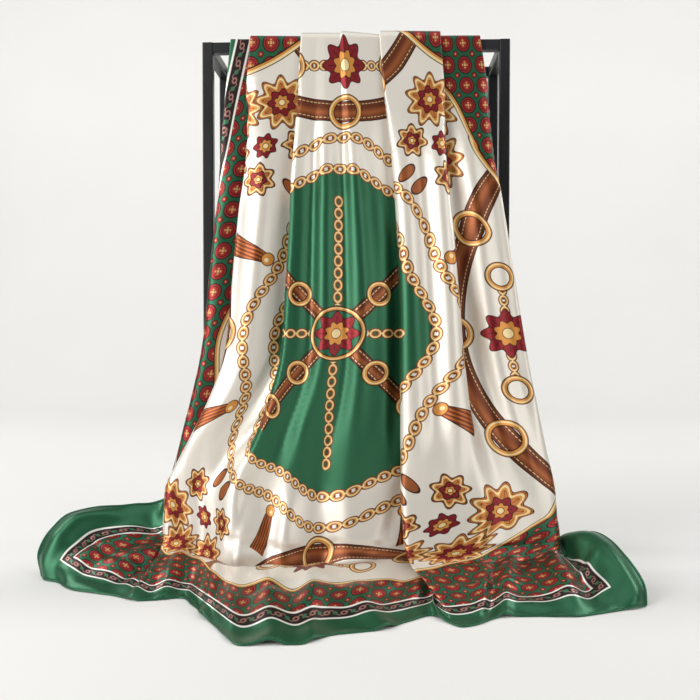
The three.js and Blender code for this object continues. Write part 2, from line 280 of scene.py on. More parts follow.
def fold_at(fold, along):
    """Centre, radius and height of one fold at one distance along the cloth."""
    if along <= LOW_ALONG:
        rows = (
            (HANG_START, fold[X_BAR], fold[FORE_BAR], RADIUS_BAR),
            (MID_ALONG, fold[X_MID], fold[FORE_MID], RADIUS_MID),
            (LOW_ALONG, fold[X_LOW], fold[FORE_LOW], RADIUS_LOW),
        )
        at = max(along, HANG_START)
        x, fore, radius = (smooth_through(rows, column, at) for column in (1, 2, 3))
        return {"turn": fold[TURN], "x": x, "fore": fore, "radius": radius, "height": 0.0}
    share, height, roll = (smooth_through(FLOOR_RUN, column, along) for column in (1, 2, 3))
    flap = LEFT_FLAP if fold[X_LOW] < 0 else RIGHT_FLAP
    out, up = (smooth_through(flap, column, along) for column in (1, 2))
    low_front = LOW_FORWARD + fold[FORE_LOW]
    return {
        "turn": fold[TURN],
        "x": fold[X_LOW] + (fold[X_HEM] - fold[X_LOW]) * share + fold[BULGE] * out,
        "fore": low_front + (fold[FRONT] - low_front) * share,
        "radius": RADIUS_LOW + (RADIUS_HEM - RADIUS_LOW) * smoothstep(along, LOW_ALONG, SIDE),
        "height": height + fold[ROLL] * roll + fold[LIFT] * up,
    }


def panel_angle(start, end):
    """Direction of the straight panel between two folds, tangent to both circles."""
    across = end["x"] - start["x"]
    fore = end["fore"] - start["fore"]
    offset = end["turn"] * end["radius"] - start["turn"] * start["radius"]
    length = math.sqrt(max(across**2 + fore**2 - offset**2, LEAST_PANEL**2))
    return math.atan2(fore, across) - math.atan2(offset, length)


def bend_round(fold, arrive, leave):
    """How far the cloth turns round a fold, between the panels before and after it."""
    turn = fold["turn"]
    bend = leave - arrive
    while bend * turn < -BACK_BEND:
        bend += turn * 2 * math.pi
    while bend * turn > 2 * math.pi - BACK_BEND:
        bend -= turn * 2 * math.pi
    return bend


def point_on(fold, angle):
    reach = fold["turn"] * fold["radius"]
    return fold["x"] + reach * math.sin(angle), fold["fore"] - reach * math.cos(angle)


# Steps of the cloth round half a fold and over a panel, and how many rows start at each place along it
HALF_STEPS, PANEL_STEPS = 5, 8
ROW_RUNS = (
    (0, 16), (TOP_START - QUARTER, 4), (TOP_START, 3), (TOP_END, 4), (HANG_START, 66), (LOW_ALONG, 55),
    (SIDE, 1),
)

# Between which rows the points come to spread evenly, how near the print's axis a front panel is looked
# for, and how often the axis is smoothed
EVEN_FROM, EVEN_TO = 150.0, 330.0
AXIS_NEAR, AXIS_FAR = 4.0, 12.0
AXIS_ROUNDS = 12


def cross_line(along):
    """One row of the cloth from hem to hem: x and fore, height, length so far, and fold number."""
    folds = [fold_at(fold, along) for fold in FOLDS]
    last = len(folds) - 1
    points, marks = [], []
    arrive = 0.0
    for k, fold in enumerate(folds):
        leave = panel_angle(fold, folds[k + 1]) if k < last else arrive
        if 0 < k < last:
            marks.append(len(points) + HALF_STEPS)
            bend = bend_round(fold, arrive, leave) / (2 * HALF_STEPS)
            points += [point_on(fold, arrive + bend * i) for i in range(2 * HALF_STEPS + 1)]
        else:
            marks.append(len(points))
            points.append((fold["x"], fold["fore"]))
        if k < last:
            end = point_on(folds[k + 1], leave)
            points += list(np.linspace(points[-1], end, PANEL_STEPS, endpoint=False)[1:])
        arrive = leave
    line = np.array(points)
    steps = np.hypot(*(line[1:] - line[:-1]).T)
    reach = np.concatenate(([0.0], np.cumsum(steps)))
    height, place = np.zeros(len(line)), np.zeros(len(line))
    for k, (a, b) in enumerate(zip(marks, marks[1:])):
        p = (reach[a : b + 1] - reach[a]) / max(reach[b] - reach[a], LEAST_PANEL)
        place[a : b + 1] = k + p
        rise = folds[k + 1]["height"] - folds[k]["height"]
        height[a : b + 1] = folds[k]["height"] + rise * smoothstep(p, 0, 1)
    return line[:, 0], line[:, 1], height, reach, place


def bar_path(along):
    """Where the cloth's middle lies as it goes up behind the bar, over it and down the front."""
    if along < TOP_START - QUARTER:
        return BAR_BACK + SKIN, RACK_HEIGHT - (TOP_START - QUARTER - along), 1.0, 0.0
    if along > TOP_START and along < TOP_END:
        return BAR_BACK - (along - TOP_START), RACK_HEIGHT + SKIN, 0.0, 1.0
    if along <= TOP_START:
        corner, angle = BAR_BACK, (along - TOP_START + QUARTER) / SKIN
    else:
        corner, angle = BAR_FRONT, math.pi / 2 + min((along - TOP_END) / SKIN, math.pi / 2)
    normal_y, normal_z = math.cos(angle), math.sin(angle)
    return corner + SKIN * normal_y, RACK_HEIGHT + SKIN * normal_z, normal_y, normal_z


def place_row(along, x, fore, height):
    """Turns one row into points in space, in millimetres from the rack's middle."""
    if along > LOW_ALONG:
        return np.column_stack((x, -fore, height))
    if along < HANG_START:
        y, z, normal_y, normal_z = bar_path(along)
        return np.column_stack((x, y + fore * normal_y, z + fore * normal_z))
    forward, level = (smooth_through(HANG, column, along) for column in (1, 2))
    return np.column_stack((x, -forward - fore, np.full(len(x), level)))


def fine_rows():
    """Distance along the cloth of every row."""
    rows = [SIDE]
    for (start, count), (end, _) in zip(ROW_RUNS, ROW_RUNS[1:]):
        rows += list(np.linspace(start, end, count, endpoint=False))
    return np.sort(rows)


def across_of_axis(along, x, fore, reach):
    """Length along a row at which the print's axis stands, on the front panels."""
    aside = np.abs(x - np.interp(along, *zip(*PRINT_AXIS)))
    picks = np.where(aside < (AXIS_NEAR if aside.min() < AXIS_NEAR else AXIS_FAR))[0]
    return reach[picks[np.argmax(fore[picks])]]


def cloth_grid():
    """Grid of points in millimetres, with the flat place of each point on the square."""
    alongs = fine_rows()
    rows, axes, places, reaches = [], [], [], []
    for along in alongs:
        *values, reach, place = cross_line(along)
        blend = smoothstep(along, EVEN_FROM, EVEN_TO)
        target = reach * (1 - blend) + np.linspace(0, reach[-1], len(reach)) * blend
        x, fore, height, place = (np.interp(target, reach, value) for value in (*values, place))
        axes.append(across_of_axis(along, x, fore, target))
        rows.append(place_row(along, x, fore, height))
        places.append(place)
        reaches.append(target)
    axes = np.array(axes)
    for _ in range(AXIS_ROUNDS):
        axes[1:-1] = (axes[:-2] + axes[1:-1] * 2 + axes[2:]) / 4
    flat = np.zeros((len(rows), len(rows[0]), 2))
    for r, along in enumerate(alongs):
        axis, end = axes[r], reaches[r][-1]
        ridge = np.interp(RIGHT_RIDGE, places[r], reaches[r])
        across = HALF * (ridge - axis) / (end - axis)
        across += min(RIDGE_ACROSS - across, 0) * np.interp(along, *zip(*RIDGE_PULL))
        flat[r, :, 0] = np.interp(reaches[r], (0, axis, ridge, end), (-HALF, 0, across, HALF))
        flat[r, :, 1] = along - HALF
    cloth = {"grid": rows, "place": places, "reach": reaches, "along": alongs, "flat": flat}
    return {name: np.array(values) for name, values in cloth.items()}


def grid_normals(grid):
    across = np.gradient(grid, axis=1)
    down = np.gradient(grid, axis=0)
    normal = np.cross(down, across)
    return normal / np.maximum(np.linalg.norm(normal, axis=2, keepdims=True), 1e-9)


def fade(values, start, end, margin):
    """1 between start and end, easing to 0 at both."""
    return smoothstep(values, start, start + margin) * smoothstep(end - values, 0, margin)


def bump_profile(offset, width):
    """A rounded rise with a faint dip on both sides."""
    q = (offset / width) ** 2
    return np.exp(-q) - DIP * np.exp(-q / DIP_REACH)


def ripples(cloth):
    """Height of the falls and creases at every point, in millimetres."""
    along, place, reach = cloth["along"], cloth["place"], cloth["reach"]
    rise = np.zeros_like(place)
    for r, t in enumerate(along):
        for top, start, foot, end, width, size in FALLS:
            if start < t < end:
                at = top + (foot - top) * (t - start) / (end - start)
                centre = np.interp(at, place[r], reach[r])
                rise[r] += size * fade(t, start, end, FADE_ALONG) * bump_profile(reach[r] - centre, width)
        for left, start, right, end, width, size in CREASES:
            at = start + (end - start) * np.clip((place[r] - left) / (right - left), 0, 1)
            rise[r] += size * fade(place[r], left, right, FADE_PLACE) * bump_profile(t - at, width)
    return rise * smoothstep(along, ROOM_FROM, ROOM_FULL)[:, None]


def wave_heights(flat, across, down, depth):
    return np.array([[noise.noise(Vector((u / across, t / down, depth))) for u, t in row] for row in flat])


def uneven(cloth):
    """Slight waves of no regular size, from a fixed noise over the flat cloth."""
    ease = smoothstep(cloth["along"], ROOM_FROM, ROOM_FULL)[:, None]
    lying = smoothstep(cloth["along"], LOW_ALONG, SIDE - FADE_ALONG)[:, None]
    long_wave, short_wave = (wave_heights(cloth["flat"], *wave) for wave in (LONG_WAVE, SHORT_WAVE))
    return ease * (LONG_RISE * long_wave + (SHORT_RISE + FLOOR_RISE * lying) * short_wave)


def soften(alongs, grid, rounds):
    """Rounds the folds below the bar, where there is room, and keeps the hems in place."""
    ease = smoothstep(alongs, SOFT_FROM, SOFT_FULL)[:, None, None]
    for _ in range(rounds):
        grid[:, 1:-1] += ((grid[:, :-2] + grid[:, 2:]) / 2 - grid[:, 1:-1]) * ease * SOFT_ACROSS
    for _ in range(rounds // 2):
        grid[1:-1] += ((grid[:-2] + grid[2:]) / 2 - grid[1:-1]) * ease[1:-1] * SOFT_ALONG
    return grid


def link_object(name, data):
    """A new object of this data in the scene, at the origin."""
    piece = bpy.data.objects.new(name, data)
    bpy.context.scene.collection.objects.link(piece)
    return piece


def new_mesh_object(name, points, edges, faces):
    mesh = bpy.data.meshes.new(name)
    mesh.from_pydata([tuple(p) for p in points], edges, faces)
    mesh.update()
    return link_object(name, mesh)


def smooth_shade(piece):
    mesh = piece.data
    mesh.polygons.foreach_set("use_smooth", [True] * len(mesh.polygons))
    mesh.update()


def set_flat_uv(piece, places):
    """Gives every corner of the mesh its point's place on the flat square, from 0 to 1."""
    mesh = piece.data
    layer = mesh.uv_layers.new(name="flat")
    corners = np.empty(len(mesh.loops), dtype=np.int32)
    mesh.loops.foreach_get("vertex_index", corners)
    layer.data.foreach_set("uv", (places[corners] / SIDE + 0.5).ravel())


def to_scene(points):
    """Millimetres from the rack's middle to metres in the row frame."""
    return points.reshape(-1, 3) * MM + np.array(RACK_MIDDLE)


def even_over_bar(cloth):
    """Spreads the print along each column's own way over the bar, which is longer outside."""
    start, end = np.searchsorted(cloth["along"], BAR_PRINT)
    steps = np.linalg.norm(np.diff(cloth["grid"][start : end + 1], axis=0), axis=2)
    way = np.vstack((np.zeros(steps.shape[1]), np.cumsum(steps, axis=0))) / steps.sum(axis=0)
    first, last = cloth["along"][start], cloth["along"][end]
    cloth["flat"][start : end + 1, :, 1] = first + (last - first) * way - HALF


def sway_tail(cloth):
    """Waves in the tail behind the bar. Layers at one place move together, so that none cross."""
    grid = cloth["grid"]
    for r, t in enumerate(cloth["along"]):
        ease = 1 - smoothstep(t, 0, TAIL_FREE)
        for middle, width, out, lean in TAIL_WAVES:
            offset = grid[r, :, 0] - middle - lean * t
            grid[r, :, 1] += out * ease * np.exp(-((offset / width) ** 2))


def finished_cloth(settings):
    """The fine grid of the cloth with its folds rounded and its falls and creases raised."""
    cloth = cloth_grid()
    even_over_bar(cloth)
    cloth["grid"] = soften(cloth["along"], cloth["grid"], settings.rounding)
    sway_tail(cloth)
    normal = grid_normals(cloth["grid"])
    rise = ripples(cloth) * settings.falls + uneven(cloth) * settings.unevenness
    grid = cloth["grid"] + normal * rise[:, :, None]
    lowest = settings.thickness / MM / 2 + FLOOR_GAP
    grid[:, :, 2] = np.maximum(grid[:, :, 2], lowest)
    cloth["grid"] = grid
    cloth["normal"] = grid_normals(grid)
    return cloth


def shell_faces(rows, columns):
    """Faces of a closed shell on two layers of one grid, with the face layer's first."""
    layer = rows * columns
    face, back, edge = [], [], []
    for r in range(rows - 1):
        for c in range(columns - 1):
            a = r * columns + c
            face.append((a, a + columns, a + columns + 1, a + 1))
            back.append((layer + a, layer + a + 1, layer + a + columns + 1, layer + a + columns))
    for r in range(rows - 1):
        a, b = r * columns, r * columns + columns - 1
        edge.append((a, layer + a, layer + a + columns, a + columns))
        edge.append((b, b + columns, layer + b + columns, layer + b))
    for c in range(columns - 1):
        a, b = c, (rows - 1) * columns + c
        edge.append((a, a + 1, layer + a + 1, layer + a))
        edge.append((b, layer + b, layer + b + 1, b + 1))
    return face, back, edge


def hem_lines(cloth):
    """The four edges as lists of point, face normal, inward direction, flat place and along."""
    grid, normal, flat, along = cloth["grid"], cloth["normal"], cloth["flat"], cloth["along"]
    rows, columns = grid.shape[:2]
    across = np.arange(columns)
    down = np.arange(rows)
    sides = (
        (np.zeros(columns, int), across, np.ones(columns, int), across),
        (down, np.full(rows, columns - 1), down, np.full(rows, columns - 2)),
        (np.full(columns, rows - 1), across[::-1], np.full(columns, rows - 2), across[::-1]),
        (down[::-1], np.zeros(rows, int), down[::-1], np.ones(rows, int)),
    )
    lines = []
    for r, c, inner_r, inner_c in sides:
        inward = grid[inner_r, inner_c] - grid[r, c]
        inward -= normal[r, c] * np.sum(inward * normal[r, c], axis=1, keepdims=True)
        inward /= np.maximum(np.linalg.norm(inward, axis=1, keepdims=True), 1e-9)
        lines.append((grid[r, c], normal[r, c], inward, flat[r, c], along[r]))
    return lines


def hem_radius(settings, along):
    """Radius of the rolled hem at each point, thinner in the tight stack of folds at the bar."""
    return np.interp(along, (ROOM_FROM, ROOM_FULL), (HEM_AT_BAR, settings.radius / MM))[:, None]


def tube_faces(start, count, sides):
    """Faces of a closed tube, whose points lie in runs along it, one run for each of its sides."""
    ring = [start + k * count for k in range(sides)]
    faces = []
    for here, above in zip(ring, ring[1:] + ring[:1]):
        faces += [(here + i, here + i + 1, above + i + 1, above + i) for i in range(count - 1)]
    return faces + [tuple(ring), tuple(v + count - 1 for v in reversed(ring))]


def colour_value(text):
    """A colour written as six hexadecimal digits, as linear light."""
    parts = [int(text[i : i + 2], 16) / 255 for i in (0, 2, 4)]
    linear = [c / 12.92 if c <= 0.04045 else ((c + 0.055) / 1.055) ** 2.4 for c in parts]
    return (*linear, 1.0)


def feed(tree, socket, value):
    """Gives an input a constant, or a link from a Field, from a socket or from a node's first output."""
    if isinstance(value, Field):
        value = value.socket
    if isinstance(value, bpy.types.Node):
        value = value.outputs[0]
    if isinstance(value, bpy.types.NodeSocket):
        tree.links.new(value, socket)
    else:
        socket.default_value = colour_value(value) if isinstance(value, str) else value


def set_inputs(tree, node, inputs):
    for name, value in inputs.items():
        feed(tree, node.inputs[name], value)


def add_node(tree, kind, inputs, **settings):
    """A node with its own settings, and with inputs fed by name or number."""
    node = tree.nodes.new(kind)
    for name, value in settings.items():
        setattr(node, name, value)
    set_inputs(tree, node, inputs)
    return node


def mixed(tree, kind, factor, below, above):
    """One colour or number over another by a factor."""
    node = add_node(tree, "ShaderNodeMix", {}, data_type=kind)
    for socket, value in zip([s for s in node.inputs if s.enabled], (factor, below, above)):
        feed(tree, socket, value)
    return [s for s in node.outputs if s.enabled][0]


def new_group(name, kind, inputs, outputs):
    """A node group with named inputs and outputs: its tree, what comes in, and where it goes out."""
    group = bpy.data.node_groups.new(name, kind)
    for direction, sockets in (("INPUT", inputs), ("OUTPUT", outputs)):
        for label, sort in sockets.items():
            group.interface.new_socket(label, in_out=direction, socket_type="NodeSocket" + sort)
    return group, group.nodes.new("NodeGroupInput").outputs, group.nodes.new("NodeGroupOutput").inputs


def math_method(operation):
    """A method of Field that works out one operation on it and on what follows."""
    return lambda self, *others: self.math(operation, self, *others)


class Field:
    """A number that varies over a surface, worked out by Math nodes in one node tree."""

    def __init__(self, tree, socket):
        self.tree = tree
        self.socket = socket

    def math(self, operation, *values):
        node = add_node(self.tree, "ShaderNodeMath", dict(enumerate(values)), operation=operation)
        return Field(self.tree, node.outputs[0])

    __add__ = math_method("ADD")
    __sub__ = math_method("SUBTRACT")
    __mul__ = math_method("MULTIPLY")
    __truediv__ = math_method("DIVIDE")
    power = math_method("POWER")
    root = math_method("SQRT")
    size = math_method("ABSOLUTE")
    sine = math_method("SINE")
    cosine = math_method("COSINE")
    angle_from = math_method("ARCTAN2")
    upper = math_method("MAXIMUM")
    over = math_method("GREATER_THAN")

    def __rsub__(self, other):
        return self.math("SUBTRACT", other, self)

    def centred(self, period):
        """Signed distance from the nearest whole number of periods."""
        return self - self.math("SNAP", self + period / 2, period)

    def under(self, edge=0.0, soft=0.5):
        """1 where this is below the edge and 0 above it, with a soft step."""
        limits = {"From Min": edge - soft / 2, "From Max": edge + soft / 2, "To Min": 1.0, "To Max": 0.0}
        node = add_node(self.tree, "ShaderNodeMapRange", {"Value": self, **limits})
        return Field(self.tree, node.outputs[0])

    def near(self, place, half, soft=0.5):
        """1 where this is at most half away from the place, with soft steps."""
        return (self - place).size().under(half, soft)


def length_of(a, b):
    return (a * a + b * b).root()


class Painter:
    """Lays colours over each other in one node tree."""

    def __init__(self, tree, ground):
        self.tree = tree
        self.colour = ground

    def lay(self, mask, colour, within=None):
        mask = mask if within is None else mask * within
        self.colour = mixed(self.tree, "RGBA", mask, self.colour, colour)

    def shape(self, distance, colour, outline, line, within=None):
        """Fills where the distance is below 0, with an outline round it."""
        self.lay(distance.under(line), outline, within)
        self.lay(distance.under(), colour, within)


# Colours of the print, from the ground to its ornaments
GREEN, CREAM, CHALK, BAND = "266544", "E9E2D6", "F2EFE6", "2B1E1C"
DISC, RED, ROSE, LEAF = "A62A28", "8E1E26", "A4766A", "3F7A55"
GOLD, PALE_GOLD, APRICOT, OCHRE = "D9923F", "F0D9A0", "E2A766", "C9793A"
TAN, RUSSET, BROWN, DARK = "A35A2C", "B5622A", "6E3418", "34150E"

# The print's main sizes in millimetres, from the middle of the square: the cream field, the green panel,
# the chain between them, the circle of the long straps and the place of the ornaments on each side
FIELD_HALF, FIELD_POWER = 338.0, 2.8
PANEL_RADIUS, GARLAND_RADIUS = 168.0, 206.0
BOW_PLACE, BOW_RADIUS = 470.0, 226.0
SIDE_ORNAMENT = 297.0
MEDALLION_PITCH, VINE_PITCH = 23.0, 19.0

# Frame of the cream field: how far outside it each line reaches, and its colour
FIELD_FRAME = ((7.0, DARK), (5.6, GOLD), (3.4, PALE_GOLD), (1.0, BROWN))

# Star flowers toward each corner: how far out, how far aside, radius, lobes
STAR_FLOWERS = ((318.0, 46.0, 27.0, 9), (352.0, 0.0, 30.0, 11), (268.0, 30.0, 16.0, 7))


def print_group():
    """The printed design as a node group: flat place on the square in, colour out."""
    sockets = {"Flat place": "Vector"}, {"Color": "Color"}
    group, given, result = new_group("scarf_print", "ShaderNodeTree", *sockets)
    split = add_node(group, "ShaderNodeSeparateXYZ", {0: given[0]})
    x, y = ((Field(group, split.outputs[i]) - 0.5) * SIDE for i in (0, 1))
    paint = Painter(group, GREEN)
    paint_medallions(paint, x, y)
    paint_field(paint, x, y, length_of(x, y), y.angle_from(x))
    paint_band(paint, x, y)
    feed(group, result[0], paint.colour)
    return group


def paint_medallions(paint, x, y):
    """Rows of round red medallions with a small rosette between every four."""
    cx, cy = x.centred(MEDALLION_PITCH), y.centred(MEDALLION_PITCH)
    spot = length_of(cx, cy)
    paint.shape(spot - 8.6, DISC, BAND, 1.3)
    paint.lay(spot.near(6.5, 0.4), DARK)
    paint.lay((spot - (cy.angle_from(cx) * 4).cosine() * 0.9).under(3.0), APRICOT)
    paint.lay(spot.near(2.0, 0.3), DARK)
    hx, hy = ((place + MEDALLION_PITCH / 2).centred(MEDALLION_PITCH) for place in (x, y))
    small = length_of(hx, hy)
    paint.shape(small - 2.7 - (hy.angle_from(hx) * 5).cosine() * 0.5, DISC, BAND, 0.9)
    paint.lay(small.under(0.9), APRICOT)


def paint_field(paint, x, y, radius, angle):
    """The cream field in its scalloped frame, with the green panel in its middle."""
    field = (x.size().power(FIELD_POWER) + y.size().power(FIELD_POWER)).power(1 / FIELD_POWER)
    inside = field - FIELD_HALF - (angle * 16).cosine() * 5.0
    for reach, colour in FIELD_FRAME:
        paint.lay(inside.under(reach), colour)
    cream = inside.under()
    paint.lay(cream, CREAM)
    for ornaments in (paint_straps, paint_garlands, paint_sprays):
        ornaments(paint, radius, angle, cream)
    panel = radius - PANEL_RADIUS - (angle * 8).cosine() * 7.0
    paint.lay(panel.under(1.0), DARK)
    paint.lay(panel.under(), GREEN)
    chain(paint, angle * PANEL_RADIUS, panel - 4.5, 2 * math.pi * PANEL_RADIUS / 72)
    paint_centre(paint, radius, angle)


def chain(paint, along, across, pitch, within=None):
    """A chain of round links joined by narrow ones, along a line."""
    link = length_of(along.centred(pitch) / 1.3, across)
    joint = length_of((along + pitch / 2).centred(pitch) / 1.7, across * 1.5)
    paint.shape(joint - pitch * 0.17, GOLD, BROWN, 1.0, within)
    paint.shape((link - pitch * 0.29).size() - pitch * 0.085, GOLD, BROWN, 1.0, within)
    paint.lay(link.near(pitch * 0.31, 0.5, 0.6), PALE_GOLD, within)
    paint.lay(joint.under(pitch * 0.07, 0.6), PALE_GOLD, within)


def strap(paint, along, across, half, within):
    """A leather-brown band with a lighter middle and two lines of stitches."""
    paint.shape(across.size() - half, BROWN, DARK, 1.3, within)
    paint.lay(across.near(half * 0.2, half * 0.28, half * 0.5), TAN, within)
    stitches = across.size().near(half * 0.74, 0.35, 0.4)
    paint.lay(stitches * along.centred(4.6).near(0.0, 1.5, 0.6), PALE_GOLD, within)


def ring(paint, along, across, size, width, within):
    """A gold ring with a bright line round it."""
    spot = length_of(along, across)
    paint.shape((spot - size).size() - width, GOLD, DARK, 1.1, within)
    paint.lay(spot.near(size + width * 0.3, width * 0.3), PALE_GOLD, within)


def rosette(paint, along, across, size, petals, within):
    """A round flower of two rows of petals."""
    spot = length_of(along, across)
    turn = across.angle_from(along) * petals
    wave = turn.cosine() * size
    paint.shape(spot - size - wave * 0.16, RED, DARK, 1.3, within)
    paint.lay(turn.sine().size().under(0.16, 0.1) * spot.under(size * 0.9), DARK, within)
    paint.shape(spot - size * 0.56 + wave * 0.08, GOLD, DARK, 0.9, within)
    paint.shape(spot - size * 0.24, PALE_GOLD, BROWN, 0.8, within)


def sector_place(radius, angle, count, turned=0.0):
    """Place in one of so many equal sectors: how far out on its middle line, and how far aside."""
    angle = (angle + turned).centred(2 * math.pi / count)
    return radius * angle.cosine(), radius * angle.sine()


def paint_centre(paint, radius, angle):
    """Two crossed straps with rings, chains between them, and a rosette where they meet."""
    out, aside = sector_place(radius, angle, 4, math.pi / 4)
    panel = radius.under(PANEL_RADIUS)
    strap(paint, out, aside, 6.5, out.near(84.0, 60.0))
    for place in (60.0, 112.0):
        ring(paint, out - place, aside, 11.0, 2.1, panel)
    straight, off = sector_place(radius, angle, 4)
    chain(paint, straight, off, 13.0, straight.near(90.0, 59.5))
    ring(paint, radius, radius * 0.0, 27.0, 1.6, panel)
    rosette(paint, out, aside, 20.0, 8, panel)


def paint_straps(paint, radius, angle, cream):
    """Long curved bands that sweep between the corners, with rings, side chains and a rosette."""
    out, aside = sector_place(radius, angle, 4)
    bow = length_of(out - BOW_PLACE, aside) - BOW_RADIUS
    swing = aside.angle_from(BOW_PLACE - out) * BOW_RADIUS
    strap(paint, swing, bow, 11.0, cream)
    for place in (-120.0, 0.0, 120.0):
        ring(paint, swing - place, bow, 17.0, 2.6, cream)
    level, side = out - SIDE_ORNAMENT, aside.size()
    chain(paint, side, level, 12.0, side.near(36.0, 15.0) * cream)
    ring(paint, level, side - 62.0, 13.0, 2.2, cream)
    rosette(paint, level, aside, 22.0, 8, cream)


def paint_garlands(paint, radius, angle, cream):
    """A waved chain between the middle panel and the straps, with tassels hung from knobs."""
    out, aside = sector_place(radius, angle, 8, math.pi / 8)
    swag = radius - GARLAND_RADIUS - (angle * 8).cosine() * 9.0
    chain(paint, angle * GARLAND_RADIUS, swag, 2 * math.pi * GARLAND_RADIUS / 84, cream)
    tassel = aside.size() - 4.6 - (out - 214.0) * 0.17
    length = out.near(236.0, 22.0)
    paint.shape(tassel, RUSSET, DARK, 1.2, length)
    paint.lay((aside * 1.6).sine().under(0.0, 0.8) * tassel.under(), BROWN, length)
    paint.shape(length_of(out - 211.0, aside) - 6.4, GOLD, BROWN, 1.2)
    paint.lay(length_of(out - 212.0, aside + 1.5).under(2.4), PALE_GOLD, radius.under(232.0))


def paint_sprays(paint, radius, angle, cream):
    """Star flowers with a rosette in each, toward the corners, with a small rosette and leaves."""
    out, aside = sector_place(radius, angle, 4, math.pi / 4)
    for place, across, size, lobes in STAR_FLOWERS:
        level = out - place
        side = aside.size() - across if across else aside
        turn = side.angle_from(level) * lobes
        star = length_of(level, side) - size - turn.cosine() * (size * 0.17)
        paint.shape(star, OCHRE, DARK, 1.3, cream)
        paint.lay(turn.sine().size().under(0.14, 0.12) * star.under(), BROWN, cream)
        paint.shape((star + size * 0.2).size() - size * 0.13, GOLD, BROWN, 0.8, cream)
        paint.lay(star.near(size * -0.16, size * 0.05, 0.8), PALE_GOLD, cream)
        rosette(paint, level, side, size * 0.5, lobes - 2, cream)
    rosette(paint, out - 292.0, aside, 12.0, 7, cream)
    paint.shape(length_of((out - 236.0) / 2.4, aside.size() - 9.0) - 5.0, TAN, DARK, 1.1, cream)


def paint_band(paint, x, y):
    """The dark band with its white lines and a vine along it, and the plain green border."""
    ax, ay = x.size(), y.size()
    edge = HALF - ax.upper(ay)
    paint.lay(edge.under(60.5), CHALK)
    paint.lay(edge.under(58.0), BAND)
    along = Field(paint.tree, mixed(paint.tree, "FLOAT", (ax - ay).over(0.0), x, y))
    middle = edge - 51.2
    inside = middle.size().under(6.0)
    wave = (along * (2 * math.pi / VINE_PITCH)).sine() * 3.2
    paint.lay((middle - wave).size().under(0.6), ROSE, inside)
    leaf = length_of(along.centred(VINE_PITCH), middle * 1.3)
    paint.lay(leaf.under(4.0), ROSE, inside)
    paint.lay(leaf.under(1.8), BAND, inside)
    bud = length_of((along + VINE_PITCH / 2).centred(VINE_PITCH), middle * 1.1)
    paint.lay(bud.under(2.6), LEAF, inside)
    paint.lay(edge.under(44.5), CHALK)
    paint.lay(edge.under(42.0), GREEN)


# The satin: how often its slubs and puckers repeat over the square, across and along it, and its depth
SLUBS, PUCKERS = (70, 1400, 1), (34, 9, 1)
SLUB_DEPTH, WEAVE_DEPTH = 0.06, 0.0016

# The satin's metal-like lustre: strong in the dark dyes and weaker in the pale ones
LUSTRE = {"From Min": 0.05, "From Max": 0.6, "To Min": 0.72, "To Max": 0.38}

# The satin's other looks, how much rougher the reverse is, and the tone that it pales to
SATIN = {
    "Specular IOR Level": 0.7,
    "Sheen Weight": 0.12,
    "Sheen Roughness": 0.3,
    "Coat Weight": 0.14,
    "Coat Roughness": 0.3,
}
REVERSE_ROUGHER = 0.16
PALE_REVERSE = "D8D8CC"


def new_material(name):
    material = bpy.data.materials.new(name)
    material.use_nodes = True
    return material, material.node_tree, material.node_tree.nodes["Principled BSDF"]


def object_noise(tree, **inputs):
    """Noise over an object's own place."""
    place = add_node(tree, "ShaderNodeTexCoord", {})
    return add_node(tree, "ShaderNodeTexNoise", {"Vector": place.outputs["Object"], **inputs})


def tone_between(tree, factor, *colours):
    """Colour that goes from the first to the second with the factor."""
    ramp = add_node(tree, "ShaderNodeValToRGB", {"Fac": factor})
    for element, colour in zip(ramp.color_ramp.elements, colours):
        element.color = colour_value(colour)
    return ramp


def weave_group():
    """Fine slubs and slight puckers of satin: flat place in, height out."""
    sockets = {"Flat place": "Vector"}, {"Height": "Float"}
    group, given, result = new_group("satin_weave", "ShaderNodeTree", *sockets)
    waves = []
    for scale, distortion in ((SLUBS, 0.0), (PUCKERS, 0.4)):
        place = add_node(group, "ShaderNodeMapping", {"Vector": given[0], "Scale": scale})
        inputs = {"Vector": place, "Scale": 1.0, "Detail": 2.0, "Distortion": distortion}
        waves.append(add_node(group, "ShaderNodeTexNoise", inputs))
    inputs = {0: waves[0], 1: SLUB_DEPTH, 2: waves[1]}
    feed(group, result[0], add_node(group, "ShaderNodeMath", inputs, operation="MULTIPLY_ADD"))
    return group


def satin_material(name, design, weave, roughness, fading):
    """Printed silk satin. Fading is how far the reverse is paler than the face."""
    material, tree, shader = new_material(name)
    place = add_node(tree, "ShaderNodeUVMap", {}, uv_map="flat")
    colour = add_node(tree, "ShaderNodeGroup", {}, node_tree=design)
    cloth = add_node(tree, "ShaderNodeGroup", {}, node_tree=weave)
    for group in (colour, cloth):
        feed(tree, group.inputs[0], place)
    if fading > 0:
        colour = mixed(tree, "RGBA", fading, colour, PALE_REVERSE)
    tone = add_node(tree, "ShaderNodeRGBToBW", {"Color": colour})
    lustre = add_node(tree, "ShaderNodeMapRange", {"Value": tone, **LUSTRE})
    bump = add_node(tree, "ShaderNodeBump", {"Strength": 0.35, "Distance": WEAVE_DEPTH, "Height": cloth})
    inputs = {"Base Color": colour, "Metallic": lustre, "Roughness": roughness, "Normal": bump}
    set_inputs(tree, shader, {**inputs, **SATIN})
    return material


def thread_material():
    """Green sewing thread with a twist along each stitch."""
    material, tree, shader = new_material("sewing_thread")
    twist = object_noise(tree, Scale=2600.0, Detail=1.0)
    tone = tone_between(tree, twist, "2C6246", "6FA083")
    set_inputs(tree, shader, {"Base Color": tone, "Roughness": 0.6})
    return material


